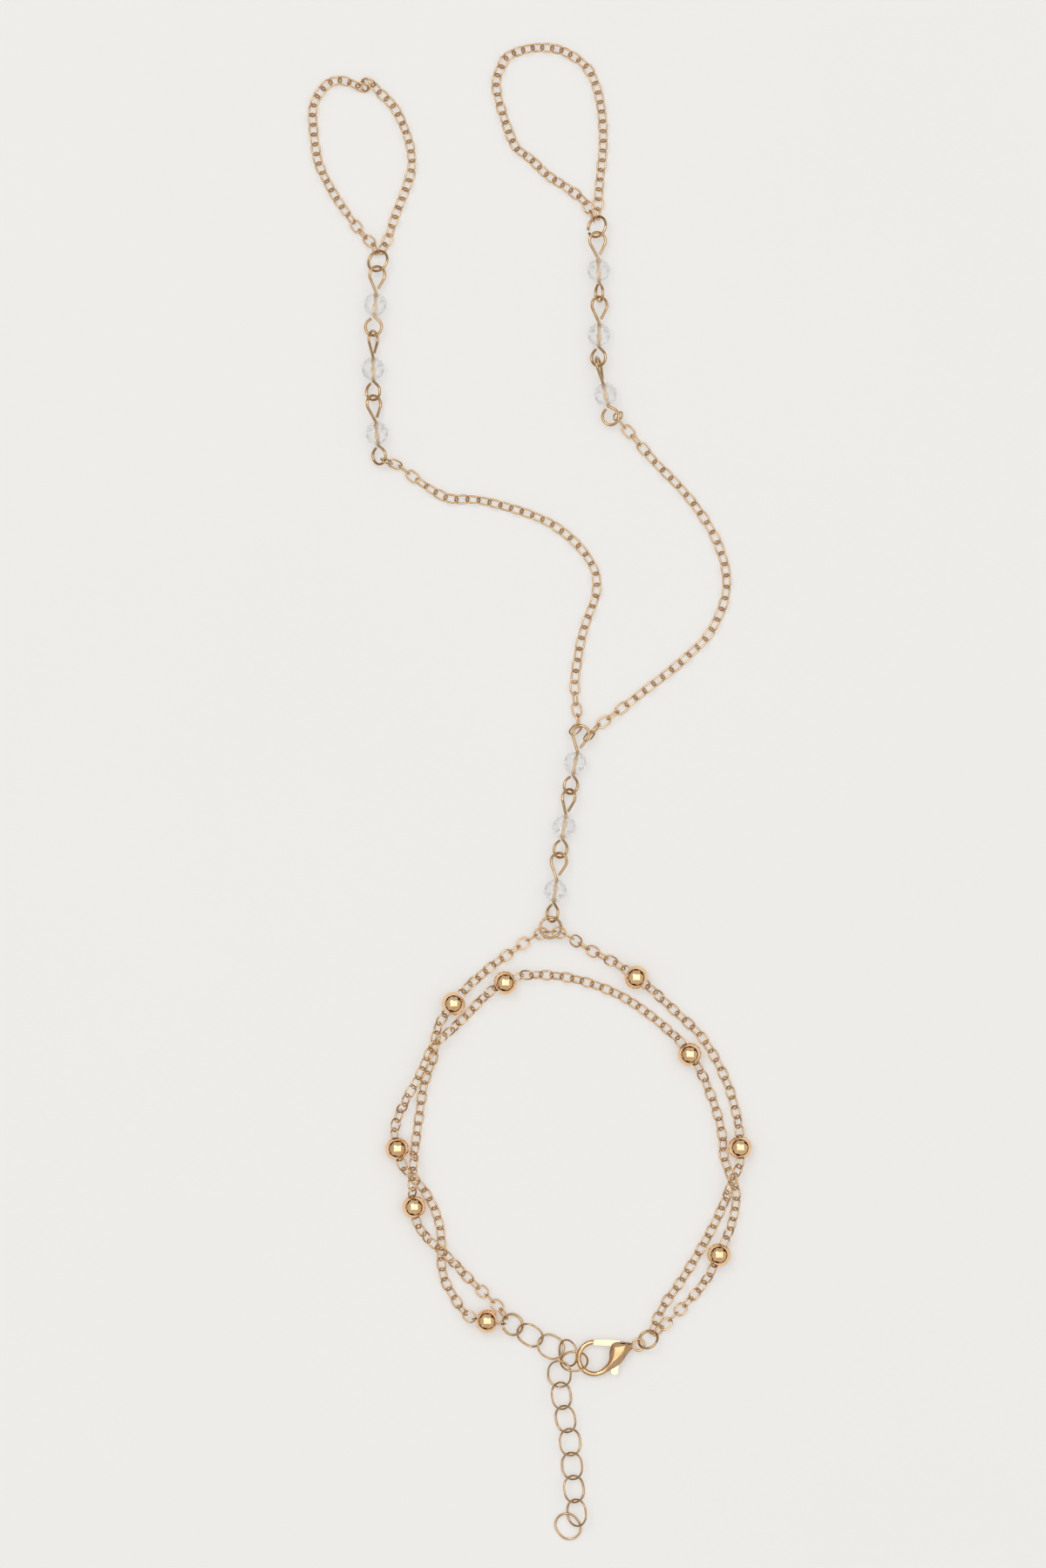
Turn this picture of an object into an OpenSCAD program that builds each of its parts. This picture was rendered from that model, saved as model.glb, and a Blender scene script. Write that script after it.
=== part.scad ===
// Hand chain bracelet, lying flat.
// Two wrist strands of oval links with round gold beads meet at a lobster clasp and an
// extension chain. Three strings of wired crystals and two hand chains lead from the outer
// strand to two finger loops. X is across the hand, +Y points to the fingers, Z = 0 is the table.

/* [Stones and beads] */
// Diameter of each crystal across its facets
crystal_d = 3.4; // [3:0.1:4]
// Facets round each crystal
crystal_sides = 10; // [8:1:12]
// Diameter of each gold bead
bead_d = 3.4; // [3:0.1:4]

/* [Wrist strands] */
// Wire diameter of a wrist link
link_wire = 0.26; // [0.2:0.01:0.3]
// Width of a wrist link, outside
link_w = 1.75; // [1.5:0.05:1.9]
// Distance from one wrist link to the next
link_pitch = 1.475; // [1.3:0.025:1.6]

/* [Finger loops and hand chains] */
// Outer diameter of a finger loop's chain
finger_chain_d = 1.4; // [1:0.1:1.6]
// Outer diameter of a hand chain
hand_chain_d = 1.5; // [1:0.1:1.7]

/* [Eye pins and rings] */
// Wire diameter of the eye pins
pin_wire = 0.4; // [0.3:0.02:0.5]
// Width of an eye pin's loops, outside
eye_w = 2.8; // [2.4:0.1:3.2]
// Length of a long loop, from the crystal to its outer end
eye_long = 3.95; // [3.4:0.05:4.4]
// Length of a short loop, from the crystal to its outer end
eye_short = 2.95; // [2.6:0.05:3.3]
// Wire diameter of the jump rings
ring_wire = 0.38; // [0.3:0.02:0.45]
// Outer diameter of the finger rings
finger_ring_d = 3.45; // [3:0.05:4]
// Outer diameter of the centre ring
centre_ring_d = 3.4; // [3.1:0.05:3.8]
// Outer diameter of the ring between the strands and the extension chain
end_ring_d = 3.45; // [3:0.05:4]
// Outer diameter of the clasp's jump ring
clasp_ring_d = 3.25; // [3:0.05:3.6]
// How far the cut in a closed jump ring gapes
ring_cut = 0.1; // [0.05:0.05:0.3]
// How far the cut in the right finger ring gapes
open_cut = 0.5; // [0.1:0.05:0.6]

/* [Extension chain] */
// Wire diameter of an extension link
ext_wire = 0.3; // [0.24:0.02:0.36]
// Width of an extension link, outside
ext_w = 3.6; // [3.2:0.05:3.8]
// Length of an extension link, outside
ext_l = 4.15; // [3.8:0.05:4.3]

/* [Clasp] */
// Thickness of the clasp's body
clasp_t = 2; // [1.8:0.1:2.4]
// Wire diameter of the clasp's hook
hook_wire = 0.74; // [0.6:0.02:0.8]
// Radius of the hook's centreline
hook_r = 2.29; // [2.2:0.02:2.4]
// Thickness of the lever
lever_t = 0.8; // [0.6:0.05:0.9]
// Diameter of the lever's pin
clasp_pin_d = 0.5; // [0.4:0.05:0.6]

/* [Clearances] */
// Slack between two linked wires
slack = 0.14; // [0.12:0.01:0.18]
// Slack between the loops of two eye pins
eye_slack = 0.25; // [0.2:0.01:0.3]
// Clearance round a wire or chain in its hole
hole_clear = 0.1; // [0.06:0.01:0.15]
// Clearance round the lever, and round its pin
lever_clear = 0.06; // [0.05:0.01:0.1]
// Gap between a finger or hand chain and the wire that it hangs on
seat_gap = 0.2; // [0.1:0.05:0.3]

/* [Hidden] */

gold = [0.87, 0.65, 0.42];
clear_stone = [0.9, 0.93, 0.96];
smooth_sides = 32;
wire_sides = 20;

// Columns of a pose: x, y, z, heading from +X, pitch upwards, roll about the heading
function step_out(pose, d) = [pose.x, pose.y, pose.z] + d * ahead(pose);
function ahead(pose) = [
    cos(pose[3]) * cos(pose[4]),
    sin(pose[3]) * cos(pose[4]),
    sin(pose[4]),
];
function aside(pose) =
    cos(pose[5]) * [-sin(pose[3]), cos(pose[3]), 0]
    + sin(pose[5]) * [-cos(pose[3]) * sin(pose[4]), -sin(pose[3]) * sin(pose[4]), cos(pose[4])];
function heading(v) = atan2(v.y, v.x);
function climb(v) = atan2(v.z, norm([v.x, v.y]));
function pose_along(a, b, roll) =
    let (m = (a + b) / 2, v = b - a) [m.x, m.y, m.z, heading(v), climb(v), roll];
// A pose whose z counts from where a ring or link of this size would touch the table
function laid(pose, r, side, wire) =
    let (
        reach = r * norm([ahead(pose).z, aside(pose).z]) + side * abs(ahead(pose).z),
        z = pose.z + reach + wire / 2
    )
    [pose.x, pose.y, z, pose[3], pose[4], pose[5]];
// The roll that stands a link square across a ring's wire, for a link that runs along v
function across(ring, v) =
    let (
        axis = cross(ahead(ring), aside(ring)),
        left = [-v.y, v.x, 0] / norm([v.x, v.y]),
        up = cross(v, left) / norm(v)
    )
    atan2(axis * up, axis * left);
function half_turn(a) = a > 90 ? a - 180 : a < -90 ? a + 180 : a;

// Centreline radius of a ring or a link's end
function ring_r(d, wire) = (d - wire) / 2;
// Where the first link that hangs on a ring starts, at an angle round the ring
function ring_exit(pose, r, wire, angle) =
    let (out = cos(angle) * ahead(pose) + sin(angle) * aside(pose))
    [pose.x, pose.y, pose.z] + (r - (wire + slack) / 2) * out;

// Rings: the heading points to what each ring is linked with, and the pitch lifts that side
finger_ring_z = 1.2;
finger_ring_r = ring_r(finger_ring_d, ring_wire);
crystal_z = crystal_d / 2;
function ring_lift(r, z) = asin((crystal_z - z) / r);
finger_ring_left = [-21.8, 76, finger_ring_z, -91, ring_lift(finger_ring_r, finger_ring_z), 28];
finger_ring_right = [9.6, 80.9, finger_ring_z, -88, ring_lift(finger_ring_r, finger_ring_z), 35];
centre_ring_z = 1.5;
centre_ring_r = ring_r(centre_ring_d, ring_wire);
centre_ring = [2.95, -19.5, centre_ring_z, 82, ring_lift(centre_ring_r, centre_ring_z), 8];
end_ring_r = ring_r(end_ring_d, ring_wire);
end_ring = laid([-2.5, -76.4, 0.25, -31, -10, -25], end_ring_r, 0, ring_wire);
clasp_ring_r = ring_r(clasp_ring_d, ring_wire);
clasp_ring = laid([16.93, -78.54, 0, 28, 5, -39], clasp_ring_r, 0, ring_wire);

// Strings of crystals, in order from the ring that starts each string.
// Columns: heading, near loop's length, near roll, far loop's length, far roll, extra slack
left_string = [
    [-94, eye_long, -25, eye_short, 15, 0],
    [-90, eye_long, -60, eye_short, 37, 0],
    [-84, eye_long, -37, eye_short, 40, 0],
];
right_string = [
    [-88, eye_long, -20, eye_short, 65, 0],
    [-91, eye_long, -26, eye_short, 35, 0],
    [-77, eye_long, -76, eye_short, 15, 0.6],
];
centre_string = [
    [83, eye_short, -50, eye_long, -22, 0],
    [81, eye_short, 39, eye_long, -42, 0],
    [79, eye_short, 37, eye_long, -14, 0],
];

eye_r = ring_r(eye_w, pin_wire);
eye_neck = crystal_d / 2;
neck_swell = 1.15;
function eye_reach(length) = eye_neck + length - pin_wire / 2 - (pin_wire + eye_slack) / 2;
// Joints between the pins of a string, from the ring outwards
function joint_after(start, units, n) =
    n == 0 ? start :
    let (u = units[n - 1], from = joint_after(start, units, n - 1))
    from + (eye_reach(u[1]) + eye_reach(u[3]) - u[5]) * [cos(u[0]), sin(u[0])];
function string_start(ring, r) =
    let (p = step_out(ring, r - (pin_wire + eye_slack) / 2)) [p.x, p.y];
function crystal_pose(start, units, n) =
    let (
        u = units[n],
        p = joint_after(start, units, n) + (eye_reach(u[1]) - u[5]) * [cos(u[0]), sin(u[0])]
    )
    [p.x, p.y, crystal_z, u[0], 0, 0];

left_start = string_start(finger_ring_left, finger_ring_r);
right_start = string_start(finger_ring_right, finger_ring_r);
centre_start = string_start(centre_ring, centre_ring_r);

// Where a hand chain leaves the far loop of a string: beside the loop, and a step further out
function far_end(start, units, out) =
    let (
        u = units[2],
        c = crystal_pose(start, units, 2),
        reach = eye_neck + u[3] - pin_wire / 2 - eye_r,
        middle = [c.x, c.y] + reach * [cos(u[0]), sin(u[0])]
    )
    [
        for (step = [0, hand_chain_d])
            let (d = eye_w / 2 + seat_gap + step)
            [middle.x + cos(out) * d, middle.y + sin(out) * d, crystal_z]
    ];

// A finger loop's tube ends beside its ring
function beside_ring(ring, d, angle) = [
    ring.x + (d / 2 + seat_gap) * cos(angle),
    ring.y + (d / 2 + seat_gap) * sin(angle),
    ring.z,
];

// Routes of the finger loops and hand chains, as points chosen along the middle of each chain
finger_route_left = [
    [-20.3, 79.5], [-19, 83], [-17.6, 86.5], [-16.9, 90], [-17.4, 93], [-18.5, 96],
    [-20.2, 99], [-22.8, 101.3], [-25, 101.4], [-27.5, 102], [-30, 100.5], [-31.2, 98],
    [-31.1, 95], [-30.6, 92], [-29.9, 89], [-28.5, 86], [-26.3, 83], [-23.5, 79.5],
];
finger_route_right = [
    [9.9, 84.5], [10, 88], [10.4, 91.5], [10.5, 95], [10.1, 98.5], [9.2, 102],
    [7.2, 105], [4.5, 106.2], [2, 106.6], [-0.5, 106.6], [-3, 105.6], [-4.6, 103.5],
    [-4.8, 101], [-4.2, 98.5], [-3, 95], [-1.2, 91.5], [2, 89], [5, 86.8], [7.2, 85],
];
hand_route_left = [
    [-18, 46], [-15, 43.8], [-12.5, 42.2], [-6.5, 41.6], [-3, 40.7],
    [0, 39.7], [3, 38.3], [5.5, 36.6], [8, 34], [9.5, 31], [9.4, 28],
    [8.3, 25], [7.2, 21.5], [6.6, 18], [6.4, 14.5], [6.7, 11],
];
hand_route_right = [
    [14.5, 51.2], [17, 48.2], [20, 45.2], [23, 41.8], [25.5, 38.4], [27.2, 35],
    [28.1, 31.5], [28.1, 28.5], [27.2, 25.5], [25.5, 22.5], [23, 19.8], [20, 17.2],
    [17, 14.8], [14, 12.5], [11, 10.3],
];

// Routes of the two wrist strands, as points chosen along the middle of each chain
outer_route = [
    [-4.5, -73.9], [-6.8, -71.7], [-9.6, -69], [-11.9, -66.4], [-14.5, -64.2], [-16.3, -61.9],
    [-17, -59.6], [-16.9, -57], [-16.7, -53.5], [-16.3, -49.5], [-15.8, -46], [-15.4, -43],
    [-14.8, -40.6], [-13.9, -38.4], [-13.6, -36], [-13.1, -33.5], [-11.1, -30.3], [-8.7, -27.8],
    [-5.2, -24.8], [-2.2, -22.7], [0.3, -20.9], [2.9, -20.05], [5.3, -20.6], [8, -22.4],
    [12.2, -24.6], [15.3, -26.5], [18, -28.9], [21.1, -31.8], [24.2, -34.7], [26.4, -38],
    [28.4, -42.2], [29.7, -46.8], [30.3, -51], [30.2, -53.3], [29, -55.6], [28, -58.5],
    [26.3, -62.3], [24, -66.4], [21.6, -70.3], [19, -74],
];
inner_route = [
    [-6.2, -75.9], [-8.2, -75.7], [-9.6, -74.5], [-10.8, -72.6], [-12.1, -70.4], [-12.7, -68],
    [-12.7, -65.5], [-12.8, -63], [-13.4, -60.6], [-14.3, -58.6], [-15.6, -56.6], [-17.3, -54.8],
    [-18.7, -53.2], [-19.5, -51.3], [-19.6, -49], [-18.8, -46.5], [-17.6, -43.8],
    [-16.1, -41.3], [-15, -38.8], [-13.9, -36.5], [-11.9, -34.7], [-9.6, -32.6], [-6.9, -29.8],
    [-3.8, -26.9], [-0.5, -26.3], [4.3, -26.5], [8.6, -27.5], [12.8, -29.2], [16.3, -31.4],
    [19.9, -34.3], [23.1, -37.5], [25.2, -41.8], [26.8, -46], [27.6, -49.5], [27.8, -52.6],
    [29, -55.6], [29.6, -58], [29, -61.7], [27.1, -66.4], [25, -70.4], [22.5, -73.3],
    [20.3, -75.5],
];
// Where each strand's gold beads sit
outer_beads = [[-16.7, -59.5], [-11.1, -30.3], [15.3, -26.5], [30.3, -50.8]];
inner_beads = [[-6.2, -75.9], [-19.5, -51.4], [-3.8, -26.9], [23.1, -37.5], [27.1, -66.4]];

// Height of a strand's line above the table where its links rest on it
link_r = ring_r(link_w, link_wire);
rest_play = 0.03;
function rest_z(twist) =
    link_r * max(abs(sin(twist - 45)), abs(sin(twist + 45))) + link_wire / 2 + rest_play;
// Most that a strand is twisted where it crosses the other one, and its height there
most_twist = 10;
over_z = 3 * rest_z(most_twist) + slack;
bead_z = bead_d / 2;
// Half the stretch of a strand that runs straight through a bead, and the ramp beside it
bead_run = bead_d / 2 + link_pitch / 2;
bead_ramp = 2.7;
// The same beside a ring at a strand's end
ring_run = 0.2;
ring_ramp = 2.5;

// Stretches where a strand is lifted. Columns: x, y, height of its line, half length, ramp
outer_lifts = [
    [-16.8, -55, over_z + 0.15, 2, 1.4],
    [-12.7, -65.6, over_z, 1.5, 3],
    [29, -55.6, over_z, 1.2, 2.5],
    [4.65, -20.35, 1.83, 1, 1.5],
];
inner_lifts = [
    [-15.1, -39.1, over_z, 5.2, 3.2],
];
// Where the outer strand runs through the centre ring: one link stands upright inside it
through_ring = [2.95, -20.05];

function spline_at(a, b, c, d, t) =
    0.5 * (
        2 * b + (c - a) * t + (2 * a - 5 * b + 4 * c - d) * t * t
        + (3 * b - a - 3 * c + d) * t * t * t
    );
spline_steps = 8;
function spline(pts) =
    let (last = len(pts) - 1)
    concat(
        [
            for (i = [0:last - 1]) for (j = [0:spline_steps - 1])
                spline_at(
                    pts[max(i - 1, 0)], pts[i], pts[i + 1], pts[min(i + 2, last)],
                    j / spline_steps
                )
        ],
        [pts[last]]
    );
// Running length at each point of a line
function runs(pts) =
    [
        for (
            i = 0, s = 0;
            i < len(pts);
            i = i + 1, s = s + (i < len(pts) ? norm(pts[i] - pts[i - 1]) : 0)
        )
            s
    ];
function nearest(pts, p) =
    let (gaps = [for (q = pts) norm([q.x, q.y] - [p.x, p.y])]) search(min(gaps), gaps)[0];
function along(pts, run, at) = [
    for (axis = [0:len(pts[0]) - 1])
        lookup(at, [for (i = [0:len(pts) - 1]) [run[i], pts[i][axis]]])
];
function hump(away, flat, ramp) =
    away <= flat ? 1 : away >= flat + ramp ? 0 : (1 + cos(180 * (away - flat) / ramp)) / 2;

// A route with a straight stretch through each of its beads
function straightened(flat, run, beads) =
    let (marks = [for (b = beads) run[nearest(flat, b)]])
    [
        for (i = [0:len(flat) - 1])
            let (inside = [for (m = marks) if (abs(run[i] - m) < bead_run) m])
            len(inside) == 0 ? flat[i] :
            let (
                a = along(flat, run, inside[0] - bead_run),
                b = along(flat, run, inside[0] + bead_run)
            )
            a + (b - a) * (run[i] - inside[0] + bead_run) / (2 * bead_run)
    ];

// The line of a strand in space, as [points, running lengths]
function strand(start, route, end, beads, lifts, twists) =
    let (
        rough = spline(concat([[start.x, start.y]], route, [[end.x, end.y]])),
        flat = straightened(rough, runs(rough), beads),
        run = runs(flat),
        total = run[len(run) - 1],
        ends = [for (e = [start, end]) [e.x, e.y, e.z, ring_run, ring_ramp]],
        threaded = [for (b = beads) [b.x, b.y, bead_z, bead_run, bead_ramp]],
        all = concat(lifts, threaded, ends),
        marks = [for (l = all) run[nearest(flat, l)]],
        line = [
            for (i = [0:len(flat) - 1])
                let (
                    base = rest_z(lookup(run[i] / total, twists)),
                    ups = [
                        for (k = [0:len(all) - 1])
                            (all[k][2] - base) * hump(abs(run[i] - marks[k]), all[k][3], all[k][4])
                    ]
                )
                [flat[i].x, flat[i].y, base + max(ups)]
        ]
    )
    [line, runs(line)];
function strand_length(s) = s[1][len(s[1]) - 1];
function on_strand(s, at) = along(s[0], s[1], at);
function link_count(s) = round(strand_length(s) / link_pitch);
// Links pinned to a place on a strand, each as [number of the link, place]
function pinned(s, places) =
    [for (p = places) [round(s[1][nearest(s[0], p)] / link_pitch - 0.5), p]];
// Running length at each joint of a strand; a pinned link has its middle at its place
function joints(s, count, pins) =
    let (
        marks = concat(
            [[0, 0]],
            [for (p = pins) [p[0] + 0.5, s[1][nearest(s[0], p[1])]]],
            [[count, strand_length(s)]]
        )
    )
    [for (k = [0:count]) lookup(k, marks)];

// A link's roll is the twist of its strand and a quarter turn to and fro
function quarter(k) = k % 2 == 0 ? 45 : -45;
// Twist of a strand about its own line. Columns: share of the strand's length, degrees
outer_turns = [[0.06, 8], [0.3, -10], [0.42, 6], [0.58, 6], [0.7, 10], [0.94, -6]];
inner_turns = [[0.06, 10], [0.25, -10], [0.5, 10], [0.7, -10], [0.94, 6]];
// Share of a strand on each side of a pinned link that has the same twist
upright_share = 0.015;
// The first and last links stand across their rings, and a pinned link stands upright
function twists(s, count, rings, turns, pins) =
    let (
        line = s[0],
        last = len(line) - 1,
        first_turn = across(rings[0], line[1] - line[0]) - quarter(0),
        last_turn = across(rings[1], line[last] - line[last - 1]) - quarter(count - 1),
        upright = [
            for (p = pins)
                let (at = s[1][nearest(s[0], p[1])] / strand_length(s))
                each [
                    for (d = [-upright_share, upright_share])
                        [at + d, half_turn(90 - quarter(p[0]))]
                ]
        ]
    )
    concat(
        [[0, half_turn(first_turn)]],
        len(pins) == 0 ? turns : concat(
            [for (t = turns) if (t[0] < upright[0][0]) t],
            upright,
            [for (t = turns) if (t[0] > upright[0][0]) t]
        ),
        [[1, half_turn(last_turn)]]
    );

// Where the two strands leave a ring, as angles round it
end_exit_angles = [163, 205];
clasp_exit_angles = [43, 12];
strand_starts = [for (a = end_exit_angles) ring_exit(end_ring, end_ring_r, ring_wire, a)];
strand_ends = [for (a = clasp_exit_angles) ring_exit(clasp_ring, clasp_ring_r, ring_wire, a)];
function outer_line(turns) =
    strand(strand_starts[0], outer_route, strand_ends[0], outer_beads, outer_lifts, turns);
function inner_line(turns) =
    strand(strand_starts[1], inner_route, strand_ends[1], inner_beads, inner_lifts, turns);
outer_plain = outer_line(outer_turns);
inner_plain = inner_line(inner_turns);
outer_count = link_count(outer_plain);
inner_count = link_count(inner_plain);
outer_pins = pinned(outer_plain, [through_ring]);
strand_rings = [end_ring, clasp_ring];
outer_twists = twists(outer_plain, outer_count, strand_rings, outer_turns, outer_pins);
inner_twists = twists(inner_plain, inner_count, strand_rings, inner_turns, []);
outer_strand = outer_line(outer_twists);
inner_strand = inner_line(inner_twists);

// Extension chain, link by link from the end ring; link 4 holds the clasp's hook and link 3
// hangs folded on it. Here z counts from where a link would touch the table
extension = [
    [0, -77.93, 0.02, -32, 0, 29],
    [2.99, -79.58, 0.32, -27, -4, -17],
    [5.46, -80.45, 0.11, -90, -14, 42],
    [6.33, -81.67, 0.02, -3, 8, -37],
    [4.22, -83.49, 0.43, -92, -12, 13],
    [4.5, -86.61, 0.05, -82, 2, -36],
    [5.1, -89.94, 0.02, -79, 1, 35],
    [5.75, -93.27, 0.05, -83, 0, -29],
    [6.03, -96.66, 0.12, -86, 1, 31],
    [6.3, -99.97, 0.02, -80, -3, -33],
    [6.69, -103.35, 0.08, -84, 2, 38],
    [5.45, -105.36, 0.03, -51.7, -1.2, 9.4],
];

// Clasp, in its own plane with the middle of its hook at the origin
clasp = [9.25, -81.2, clasp_t / 2, 0, 0, 0];
hinge = hook_r * [1.42, 0.7];
// Play of the lever's pin in the cheeks, where it is pressed in
press_gap = 0.02;

module at(pose) {
    translate([pose[0], pose[1], pose[2]]) rotate([pose[5], -pose[4], pose[3]]) children();
}

// A rod between two points of a plane
module rod(a, b, d, sides = wire_sides) {
    v = b - a;
    translate([a.x, a.y, 0])
        rotate([0, 0, heading(v)])
            rotate([0, 90, 0])
                cylinder(d = d, h = norm(v), $fn = sides);
}

module ring(r, wire) {
    rotate_extrude($fn = smooth_sides * 2)
        translate([r, 0])
            circle(d = wire, $fn = wire_sides);
}

// An oval link lying flat along X, with straight sides and round ends
module link(length, width, wire) {
    r = ring_r(width, wire);
    // In whole microns, so that the straight sides meet the round ends exactly
    side = round(500 * (length - width)) / 1000;
    for (turn = [0, 180])
        rotate([0, 0, turn])
            translate([side, 0, 0])
                rotate([0, 0, -90])
                    rotate_extrude(angle = 180, $fn = smooth_sides * 2)
                        translate([r, 0])
                            circle(d = wire, $fn = wire_sides);
    for (y = [-r, r])
        rod([-side, y], [side, y], wire);
}

// One strand: a link between each joint and the next, each turned square to its neighbours
module strand_links(s, count, turns, pins) {
    at = joints(s, count, pins);
    length = strand_length(s) / count + 2 * link_wire + slack;
    for (k = [0:len(at) - 2]) {
        a = on_strand(s, at[k]);
        b = on_strand(s, at[k + 1]);
        roll = lookup((at[k] + at[k + 1]) / 2 / strand_length(s), turns) + quarter(k);
        at(pose_along(a, b, roll))
            link(length, link_w, link_wire);
    }
}

module gold_bead(s, place) {
    middle = s[1][nearest(s[0], place)];
    v = on_strand(s, middle + bead_d / 2) - on_strand(s, middle - bead_d / 2);
    color(gold)
        translate(on_strand(s, middle))
            rotate([0, 0, heading(v)])
                rotate([0, 90, 0])
                    difference() {
                        sphere(d = bead_d, $fn = smooth_sides * 2);
                        cylinder(
                            d = link_w + 2 * hole_clear, h = 2 * bead_d, center = true,
                            $fn = smooth_sides
                        );
                    }
}

// A cut crystal, drilled along X. Rows of facets run round it, with a table at each hole.
// Columns of a row: place along the hole and radius, both as shares of the crystal's radius
crystal_rows = [
    [-0.93, 0.36], [-0.66, 0.75], [-0.25, 0.97], [0.25, 0.97], [0.66, 0.75], [0.93, 0.36],
];
module cut_crystal() {
    n = crystal_sides;
    rows = len(crystal_rows);
    r = crystal_d / 2;
    pts = [
        for (i = [0:rows - 1]) for (j = [0:n - 1])
            let (turn = 360 * (j + (i % 2) / 2) / n)
            [
                crystal_rows[i][0] * r,
                crystal_rows[i][1] * r * cos(turn),
                crystal_rows[i][1] * r * sin(turn),
            ]
    ];
    band = [
        for (i = [0:rows - 2]) for (j = [0:n - 1])
            let (
                a = i * n + j, b = i * n + (j + 1) % n,
                c = (i + 1) * n + j, d = (i + 1) * n + (j + 1) % n
            )
            each i % 2 == 0 ? [[a, b, c], [b, d, c]] : [[a, b, d], [a, d, c]]
    ];
    tables = [[for (j = [n - 1:-1:0]) j], [for (j = [0:n - 1]) (rows - 1) * n + j]];
    color(clear_stone)
        difference() {
            polyhedron(points = pts, faces = concat(band, tables), convexity = 2);
            rotate([0, 90, 0])
                cylinder(
                    d = pin_wire + 2 * hole_clear, h = 2 * crystal_d, center = true,
                    $fn = wire_sides
                );
        }
}

// A drop-shaped loop of wire from the origin along X, with its cut end clear of the neck
module eye(length) {
    middle = length - pin_wire / 2 - eye_r;
    lean = asin(eye_r / middle);
    leg = middle * cos(lean);
    translate([middle, 0, 0])
        rotate([0, 0, -90 - lean])
            rotate_extrude(angle = 180 + 2 * lean, $fn = smooth_sides * 2)
                translate([eye_r, 0])
                    circle(d = pin_wire, $fn = wire_sides);
    rod([0, 0], leg * [cos(lean), sin(lean)], pin_wire);
    rod(
        (pin_wire + slack) / sin(2 * lean) * [cos(lean), -sin(lean)],
        leg * [cos(lean), -sin(lean)], pin_wire
    );
    // A slight swelling where the wire is bent at the crystal
    sphere(d = pin_wire * neck_swell, $fn = wire_sides);
}

module eye_pin(unit) {
    color(gold) {
        rod([-eye_neck, 0], [eye_neck, 0], pin_wire);
        translate([eye_neck, 0, 0]) rotate([unit[4], 0, 0]) eye(unit[3]);
        translate([-eye_neck, 0, 0]) rotate([unit[2], 0, 0]) rotate([0, 0, 180]) eye(unit[1]);
    }
}

// A tube along points in space, with flat ends
tube_sides = 8;
module tube(pts, d) {
    last = len(pts) - 1;
    rings = [
        for (i = [0:last])
            let (
                v = pts[min(i + 1, last)] - pts[max(i - 1, 0)],
                side = [-v.y, v.x, 0] / norm([v.x, v.y]),
                up = cross(v, side) / norm(v)
            )
            [
                for (j = [0:tube_sides - 1])
                    let (turn = 360 * (j + 0.5) / tube_sides)
                    pts[i] + d / 2 * (cos(turn) * side + sin(turn) * up)
            ]
    ];
    color(gold) loft(rings);
}

// A solid through rings of points, which go from left over the top to the right
module loft(rings) {
    n = len(rings[0]);
    last = len(rings) - 1;
    skin = [
        for (i = [0:last - 1]) for (j = [0:n - 1])
            let (a = i * n + j, b = i * n + (j + 1) % n)
            each [[a, a + n, b], [b, a + n, b + n]]
    ];
    ends = [[for (j = [0:n - 1]) j], [for (j = [n - 1:-1:0]) last * n + j]];
    polyhedron(points = [for (r = rings) each r], faces = concat(skin, ends), convexity = 4);
}

function flat_route(route, d) = [for (p = route) [p.x, p.y, d / 2 / cos(180 / tube_sides)]];

// Directions from each finger ring in which its loop's two ends leave
finger_exit_angles_left = [66, 117];
finger_exit_angles_right = [78, 128];
module finger_chain(ring, exits, route) {
    tube(
        concat(
            [beside_ring(ring, finger_ring_d, exits[0])],
            flat_route(route, finger_chain_d),
            [beside_ring(ring, finger_ring_d, exits[1])]
        ),
        finger_chain_d
    );
}

module hand_chain(start, route, end) {
    tube(concat(start, flat_route(route, hand_chain_d), [end[1], end[0]]), hand_chain_d);
}

// A ring of wire, cut where it was closed, at an angle round it
module jump_ring(pose, r, cut_angle, cut = ring_cut) {
    gap = cut / r * 180 / PI;
    color(gold)
        at(pose)
            rotate([0, 0, cut_angle + gap / 2])
                rotate_extrude(angle = 360 - gap, $fn = smooth_sides * 2)
                    translate([r, 0])
                        circle(d = ring_wire, $fn = wire_sides);
}

module extension_link(n) {
    pose = laid(extension[n], ring_r(ext_w, ext_wire), (ext_l - ext_w) / 2, ext_wire);
    color(gold) at(pose) link(ext_l, ext_w, ext_wire);
}

// All places in the clasp's plane below are shares of the hook's radius, and all heights are
// shares of half the clasp's thickness
function placed(outline) = [for (p = outline) hook_r * p];

// Sections of the clasp's body from its neck to the root of the hook. Columns: inner edge,
// the two ridges, outer edge, height of the ridges, height of the edges
body_sections = [
    [[2.39, 0.94], [2.39, 0.85], [2.39, 0.7], [2.39, 0.6], 0.3, 0.2],
    [[1.92, 1], [1.88, 0.81], [1.94, 0.72], [2.21, 0.41], 0.85, 0.5],
    [[1.18, 0.96], [1.31, 0.63], [1.72, 0.48], [2.01, 0.17], 1, 0.6],
    [[0.94, 0.41], [1.24, 0.33], [1.55, 0.22], [1.81, -0.13], 1, 0.62],
    [[0.92, 0], [1.14, -0.02], [1.35, -0.09], [1.57, -0.39], 0.95, 0.6],
    [[0.81, -0.31], [0.94, -0.37], [1.11, -0.48], [1.27, -0.59], 0.75, 0.5],
];
// Where the body runs into the hook's wire. Columns: angle round the hook, half width as a
// share of the hook's radius, height of the ridges, height of the edges
root_sections = [
    [-45, 0.2, 0.5, 0.3],
    [-62, 0.17, 0.4, 0.22],
    [-80, 0.14, 0.33, 0.15],
];
ridge_share = 0.42;
hook_root_angle = -40;
// The hook's tip and the gate's end are cut along the gate's swing
tip_cut = [[-0.105, 0.79], [-0.025, 1.25], [0.4, 1.25], [0.4, 0.79]];
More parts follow.
